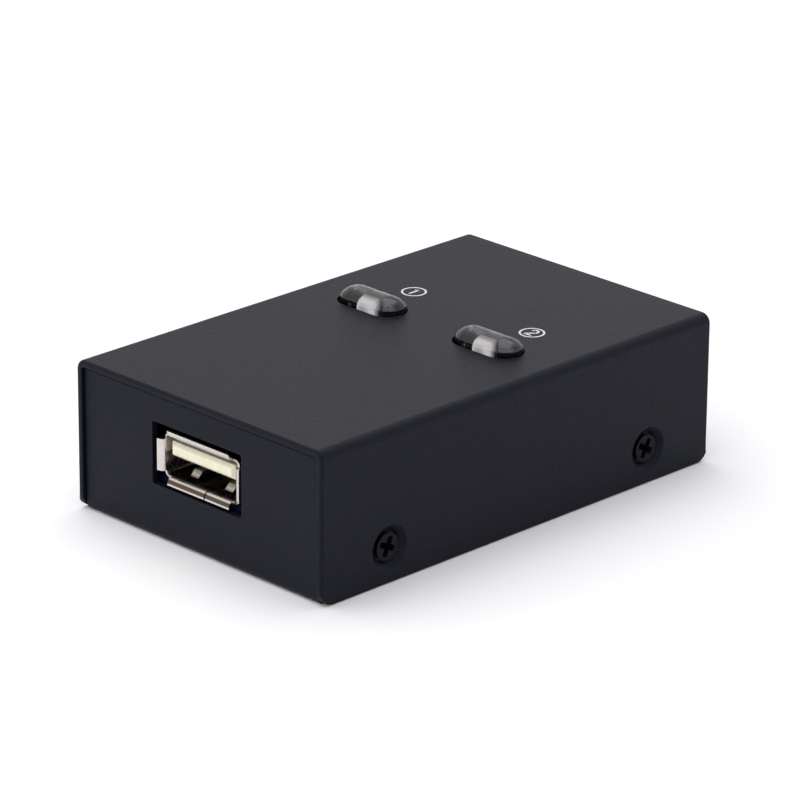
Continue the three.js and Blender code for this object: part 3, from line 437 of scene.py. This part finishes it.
def cut_edge_group():
    """Weights the sharp edges at the cover's two cut ends for rounding, the outer ones by more."""
    tree = bpy.data.node_groups.new("cut_edge_widths", "GeometryNodeTree")
    for way in ("INPUT", "OUTPUT"):
        tree.interface.new_socket("Geometry", in_out=way, socket_type="NodeSocketGeometry")
    start = tree.nodes.new("NodeGroupInput")
    end = tree.nodes.new("NodeGroupOutput")

    def math_of(operation, first, second=None):
        node = tree.nodes.new("ShaderNodeMath")
        node.operation = operation
        for value, socket in ((first, node.inputs[0]), (second, node.inputs[1])):
            if isinstance(value, (int, float)):
                socket.default_value = value
            elif value is not None:
                tree.links.new(value, socket)
        return node.outputs[0]

    axes = tree.nodes.new("ShaderNodeSeparateXYZ")
    tree.links.new(tree.nodes.new("GeometryNodeInputPosition").outputs[0], axes.inputs[0])
    x = math_of("ABSOLUTE", axes.outputs["X"])
    y = math_of("ABSOLUTE", axes.outputs["Y"])
    z = axes.outputs["Z"]
    outside = math_of("GREATER_THAN", x, OUTER_X * MM)
    outside = math_of("MAXIMUM", outside, math_of("GREATER_THAN", z, OUTER_Z * MM))
    slanted = math_of("GREATER_THAN", math_of("ADD", x, z), OUTER_SLANT * MM)
    outside = math_of("MAXIMUM", outside, slanted)
    at_end = math_of("GREATER_THAN", y, CUT_END_Y * MM)
    end_share = math_of("ADD", math_of("MULTIPLY", outside, 1 - INNER_SHARE), INNER_SHARE)
    share = math_of("MULTIPLY", at_end, end_share)
    angle = tree.nodes.new("GeometryNodeInputMeshEdgeAngle").outputs["Unsigned Angle"]
    weight = math_of("MULTIPLY", math_of("GREATER_THAN", angle, math.radians(SHARP_ANGLE)), share)
    store = tree.nodes.new("GeometryNodeStoreNamedAttribute")
    store.domain = "EDGE"
    store.inputs["Name"].default_value = "bevel_weight_edge"
    tree.links.new(start.outputs[0], store.inputs["Geometry"])
    tree.links.new(weight, store.inputs["Value"])
    tree.links.new(store.outputs[0], end.inputs[0])
    return tree


def round_edges(node, name, width, segments, limit, harden):
    """Rounds edges by their weight, or else every edge over an angle as far as there is room."""
    edge = node.modifiers.new(name, "BEVEL")
    edge.width = width * MM
    edge.segments = segments
    edge.limit_method = limit
    edge.angle_limit = math.radians(SHARP_ANGLE)
    edge.harden_normals = harden
    edge.use_clamp_overlap = limit == "ANGLE"


def shade(node, material, group, bevel=0.0, widths=None):
    """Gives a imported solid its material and, where bevel is set, edges rounded by that many millimetres."""
    node.data.materials.clear()
    node.data.materials.append(material)
    weld = node.modifiers.new("weld", "NODES")
    weld.node_group = group
    if bevel:
        flat = node.modifiers.new("flat_faces", "DECIMATE")
        flat.decimate_type = "DISSOLVE"
        flat.angle_limit = math.radians(FLAT_ANGLE)
        if widths:
            node.modifiers.new("edge_widths", "NODES").node_group = widths
            round_edges(node, "cut_edges", CUT_EDGE_ROUND, CUT_EDGE_STEPS, "WEIGHT", False)
        round_edges(node, "edges", bevel, EDGE_STEPS, "ANGLE", not widths)
        if widths:
            node.modifiers.new("flat_normals", "WEIGHTED_NORMAL").mode = "FACE_AREA"


# New pieces

def mesh_object(name, verts, faces, material, body):
    mesh = bpy.data.meshes.new(name)
    mesh.from_pydata(verts, [], faces)
    mesh.validate()
    mesh.materials.append(material)
    mesh.shade_smooth()
    piece = bpy.data.objects.new(name, mesh)
    bpy.context.scene.collection.objects.link(piece)
    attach(piece, body)
    return piece


def stadium_ring(straight, radius, height, steps):
    """Points round a stadium along X, anticlockwise seen from above, in millimetres."""
    ring = []
    for side in (1, -1):
        for i in range(steps + 1):
            angle = math.pi * (i / steps - 0.5)
            x = side * (straight + radius * math.cos(angle))
            ring.append((x, side * radius * math.sin(angle), height))
    return ring


FILLET_STEPS = 8
CROWN_STEPS = 20
CROWN_HOLE = 0.02
CAP_END_STEPS = 40
CAP_SHARP_ANGLE = 40


def cap_levels():
    """Radius and height of the clear cap's rings, lowest first."""
    radius = SLOT_WIDTH / 2 - CAP_GAP
    arc = (radius**2 + CAP_CROWN**2) / (2 * CAP_CROWN)
    centre = CAP_WALL + CAP_CROWN - arc
    fillet_x = radius - CAP_FILLET
    fillet_z = centre + math.sqrt((arc - CAP_FILLET) ** 2 - fillet_x**2)
    blend = math.atan2(fillet_z - centre, fillet_x)
    flange_top = CAP_LOW + FLANGE_THICKNESS
    levels = [
        (radius + FLANGE_STEP, CAP_LOW),
        (radius + FLANGE_STEP, flange_top),
        (radius, flange_top),
    ]
    for i in range(FILLET_STEPS + 1):
        angle = blend * i / FILLET_STEPS
        levels.append((
            fillet_x + CAP_FILLET * math.cos(angle),
            fillet_z + CAP_FILLET * math.sin(angle),
        ))
    top = math.acos(CROWN_HOLE / arc)
    for i in range(1, CROWN_STEPS + 1):
        angle = blend + (top - blend) * i / CROWN_STEPS
        levels.append((arc * math.cos(angle), centre + arc * math.sin(angle)))
    return levels


def clear_cap(number, side, material):
    """The cap as one clear body that takes the white stem in its middle."""
    radius = SLOT_WIDTH / 2 - CAP_GAP
    straight = SLOT_LENGTH / 2 - CAP_GAP - radius
    centre = Vector((side * BUTTON_PITCH / 2 + BUTTON_SHIFT, BUTTON_Y, CASE_TOP))
    levels = cap_levels()
    verts = []
    for r, z in levels:
        verts += [(centre + Vector(p)) * MM for p in stadium_ring(straight, r, z, CAP_END_STEPS)]
    count = 2 * (CAP_END_STEPS + 1)
    faces = []
    for level in range(len(levels) - 1):
        for i in range(count):
            a = level * count + i
            b = level * count + (i + 1) % count
            faces.append((a, b, b + count, a + count))
    faces.append(tuple(reversed(range(count))))
    faces.append(tuple(range((len(levels) - 1) * count, len(levels) * count)))
    name = f"clear_cap_{number}"
    piece = mesh_object(name, verts, faces, material, f"button_{number}")
    sharp_edges(piece, CAP_SHARP_ANGLE)
    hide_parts(f"button_cap_{number}")


def sharp_edges(piece, angle):
    """Marks a piece's edges over an angle as sharp."""
    made = bmesh.new()
    made.from_mesh(piece.data)
    limit = math.radians(angle)
    for edge in made.edges:
        if len(edge.link_faces) == 2 and edge.calc_face_angle(0) > limit:
            edge.smooth = False
    made.to_mesh(piece.data)
    made.free()


def ribbon(path, width, closed=False):
    """The outline strips of a pen stroke along a path in millimetres, as quads of points."""
    points = [Vector(p) for p in path]
    count = len(points)
    left, right = [], []
    for i, point in enumerate(points):
        before = points[(i - 1) % count] if closed or i else point
        after = points[(i + 1) % count] if closed or i < count - 1 else point
        along = (after - before).normalized()
        side = Vector((-along.y, along.x)) * width / 2
        left.append(point + side)
        right.append(point - side)
    spans = range(count if closed else count - 1)
    return [(left[i], right[i], right[(i + 1) % count], left[(i + 1) % count]) for i in spans]


def circle_path(radius, steps=64, centre=(0, 0), start=0.0, sweep=360.0):
    whole = abs(sweep) >= 360
    points = []
    for i in range(steps if whole else steps + 1):
        angle = math.radians(start + sweep * i / steps)
        points.append((centre[0] + radius * math.cos(angle), centre[1] + radius * math.sin(angle)))
    return points


# Ink numerals, whose sizes are in millimetres

INK_LIFT = 0.004
INK_THICKNESS = 0.012


def ink_mark(name, centre, strokes, material):
    """Pen strokes as thin ink on the top of the case."""
    verts, faces = [], []
    low = CASE_TOP + INK_LIFT
    for path, width, closed in strokes:
        for quad in ribbon(path, width, closed):
            start = len(verts)
            for z in (low, low + INK_THICKNESS):
                verts += [Vector((centre[0] + p.x, centre[1] + p.y, z)) * MM for p in quad]
            faces += [tuple(start + i for i in f) for f in (
                (0, 1, 2, 3), (7, 6, 5, 4), (0, 4, 5, 1), (1, 5, 6, 2), (2, 6, 7, 3), (3, 7, 4, 0),
            )]
    return mesh_object(name, verts, faces, material, "case")


NUMERAL_CENTRES = {1: (-9.82, 12.59), 2: (10.70, 12.66)}
RING_RADIUS = 1.52
RING_WIDTH = 0.27
DIGIT_HALF = 0.95
DIGIT_WIDTH = 0.3


def numeral_one():
    h = DIGIT_HALF
    return [
        ([(0.06, h), (0.06, -h)], DIGIT_WIDTH, False),
        ([(-0.38, h - 0.42), (-0.1, h - 0.24), (0.06, h - 0.02)], DIGIT_WIDTH * 0.8, False),
    ]


def numeral_two():
    h = DIGIT_HALF
    r = 0.5
    bowl = circle_path(r, 12, (0, h - r), 165, -200)
    tail = [bowl[-1], (-0.1, -h + 0.62), (-0.5, -h + 0.16)]
    return [
        (bowl, DIGIT_WIDTH, False),
        (tail, DIGIT_WIDTH, False),
        ([(-0.62, -h + 0.14), (0.6, -h + 0.14)], DIGIT_WIDTH * 0.95, False),
    ]


# Studio

LAMP_PLACE = (-120, 160, 900)
LAMP_AIM = (0, 0, 10)
LAMP_SIDE = 900
LAMP_POWER = 2.0


def make_lamp():
    """One wide soft lamp overhead, a little to the back left."""
    data = bpy.data.lights.new("overhead", "AREA")
    data.shape = "RECTANGLE"
    data.size = data.size_y = LAMP_SIDE * MM
    data.energy = LAMP_POWER
    light = bpy.data.objects.new("overhead", data)
    light.location = Vector(LAMP_PLACE) * MM
    heading = (Vector(LAMP_AIM) - Vector(LAMP_PLACE)).normalized()
    light.rotation_mode = "QUATERNION"
    light.rotation_quaternion = heading.to_track_quat("-Z", "Y")
    bpy.context.scene.collection.objects.link(light)


def seen_share(tree):
    """1 for camera, glossy and transmission rays and 0 for the others."""
    path = tree.nodes.new("ShaderNodeLightPath")
    first = tree.nodes.new("ShaderNodeMath")
    first.operation = "MAXIMUM"
    second = tree.nodes.new("ShaderNodeMath")
    second.operation = "MAXIMUM"
    tree.links.new(path.outputs["Is Camera Ray"], first.inputs[0])
    tree.links.new(path.outputs["Is Glossy Ray"], first.inputs[1])
    tree.links.new(first.outputs[0], second.inputs[0])
    tree.links.new(path.outputs["Is Transmission Ray"], second.inputs[1])
    return second.outputs[0]


FLOOR_WHITE = srgb(247, 247, 249)
TABLE_HALF = 3.0
SKY_LOW = 0.35
SKY_HIGH = 1.0
FLOOR_GLOW = 0.03

# The sky is brighter towards the front left and dimmer away from it
BRIGHT_SIDE = (-0.62, -0.62, 0.48)
BRIGHT_SHARE = 0.7
SKY_LEAST = 0.02


def make_world():
    world = bpy.data.worlds.new("studio")
    world.use_nodes = True
    tree = world.node_tree
    tree.nodes.clear()
    lit = tree.nodes.new("ShaderNodeBackground")
    lit.inputs["Color"].default_value = (1.0, 1.0, 1.0, 1)
    heading = tree.nodes.new("ShaderNodeTexCoord")
    axes = tree.nodes.new("ShaderNodeSeparateXYZ")
    height = tree.nodes.new("ShaderNodeMapRange")
    height.inputs["To Min"].default_value = SKY_LOW
    height.inputs["To Max"].default_value = SKY_HIGH
    tree.links.new(heading.outputs["Generated"], axes.inputs[0])
    tree.links.new(axes.outputs["Z"], height.inputs["Value"])
    facing = tree.nodes.new("ShaderNodeVectorMath")
    facing.operation = "DOT_PRODUCT"
    facing.inputs[1].default_value = BRIGHT_SIDE
    tree.links.new(heading.outputs["Generated"], facing.inputs[0])
    slope = tree.nodes.new("ShaderNodeMath")
    slope.operation = "MULTIPLY_ADD"
    slope.inputs[1].default_value = BRIGHT_SHARE
    tree.links.new(facing.outputs["Value"], slope.inputs[0])
    tree.links.new(height.outputs["Result"], slope.inputs[2])
    least = tree.nodes.new("ShaderNodeMath")
    least.operation = "MAXIMUM"
    least.inputs[1].default_value = SKY_LEAST
    tree.links.new(slope.outputs[0], least.inputs[0])
    tree.links.new(least.outputs[0], lit.inputs["Strength"])
    seen = tree.nodes.new("ShaderNodeBackground")
    seen.inputs["Color"].default_value = (1.0, 1.0, 1.0, 1)
    seen.inputs["Strength"].default_value = 1.0
    mix = tree.nodes.new("ShaderNodeMixShader")
    output = tree.nodes.new("ShaderNodeOutputWorld")
    tree.links.new(seen_share(tree), mix.inputs["Fac"])
    tree.links.new(lit.outputs[0], mix.inputs[1])
    tree.links.new(seen.outputs[0], mix.inputs[2])
    tree.links.new(mix.outputs[0], output.inputs["Surface"])
    bpy.context.scene.world = world


def make_floor():
    material = bpy.data.materials.new("white_table")
    material.use_nodes = True
    tree = material.node_tree
    tree.nodes.clear()
    output = tree.nodes.new("ShaderNodeOutputMaterial")
    paper = tree.nodes.new("ShaderNodeBsdfDiffuse")
    paper.inputs["Color"].default_value = (*FLOOR_WHITE, 1)
    glow = tree.nodes.new("ShaderNodeEmission")
    glow.inputs["Color"].default_value = (1, 1, 1, 1)
    strength = tree.nodes.new("ShaderNodeMath")
    strength.operation = "MULTIPLY"
    strength.inputs[1].default_value = FLOOR_GLOW
    both = tree.nodes.new("ShaderNodeAddShader")
    tree.links.new(seen_share(tree), strength.inputs[0])
    tree.links.new(strength.outputs[0], glow.inputs["Strength"])
    tree.links.new(paper.outputs[0], both.inputs[0])
    tree.links.new(glow.outputs[0], both.inputs[1])
    tree.links.new(both.outputs[0], output.inputs["Surface"])
    mesh = bpy.data.meshes.new("table_top")
    corners = [(x * TABLE_HALF, y * TABLE_HALF, 0) for x, y in ((-1, -1), (1, -1), (1, 1), (-1, 1))]
    mesh.from_pydata(corners, [], [(0, 1, 2, 3)])
    mesh.materials.append(material)
    floor = bpy.data.objects.new("table_top", mesh)
    bpy.context.scene.collection.objects.link(floor)


# Putting it together

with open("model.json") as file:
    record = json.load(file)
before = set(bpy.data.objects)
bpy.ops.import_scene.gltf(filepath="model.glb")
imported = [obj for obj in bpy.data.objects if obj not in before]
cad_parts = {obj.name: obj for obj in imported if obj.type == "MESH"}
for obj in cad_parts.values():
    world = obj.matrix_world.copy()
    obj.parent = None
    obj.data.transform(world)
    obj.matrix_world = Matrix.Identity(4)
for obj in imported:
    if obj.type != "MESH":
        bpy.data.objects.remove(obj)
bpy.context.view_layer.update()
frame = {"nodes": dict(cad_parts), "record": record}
scene = bpy.context.scene
scene.view_settings.view_transform = "Standard"
make_camera()
make_world()
make_floor()
make_lamp()

coat = coat_finish()
nickel = nickel_finish()
zinc = zinc_finish()
black_screw = black_screw_finish()
gold = gold_finish()
ivory = ivory_finish()
white = white_finish()
black = black_finish()
board = board_finish()
sleeve = sleeve_finish()
smoky = smoky_finish()
lamp = lamp_finish()
stem = stem_finish()
ink = ink_finish()

BY_SLOT = {
    "case_coat": (coat, 0.12),
    "black_screw": (black_screw, 0.06),
    "zinc_steel": (zinc, 0.05),
    "nickel_sheet": (nickel, 0.05),
    "gold_contact": (gold, 0.03),
    "board_blue": (board, 0.05),
    "ivory_plastic": (ivory, 0.16),
    "white_plastic": (white, 0.1),
    "black_plastic": (black, 0.06),
    "smoky_plastic": (smoky, 0),
    "clear_lamp": (lamp, 0.05),
    "capacitor_sleeve": (sleeve, 0.05),
}
soft_shading = geometry_group("weld_and_smooth", SMOOTH_ALL)
plain_shading = geometry_group("weld_and_split", SHARP_ANGLE)
slots = {part["node"]: part["material_slot"] for part in frame["record"]["subparts"]}
cut_edges = cut_edge_group()
for name, node in frame["nodes"].items():
    material, bevel = BY_SLOT[slots[name]]
    if name.startswith("switch_plunger"):
        material = stem
    group = soft_shading if bevel else plain_shading
    shade(node, material, group, bevel, cut_edges if name == "cover" else None)

for number, side in ((1, -1), (2, 1)):
    clear_cap(number, side, smoky)
    ring = [(circle_path(RING_RADIUS), RING_WIDTH, True)]
    digit = numeral_one() if number == 1 else numeral_two()
    ink_mark(f"numeral_{number}", NUMERAL_CENTRES[number], ring + digit, ink)
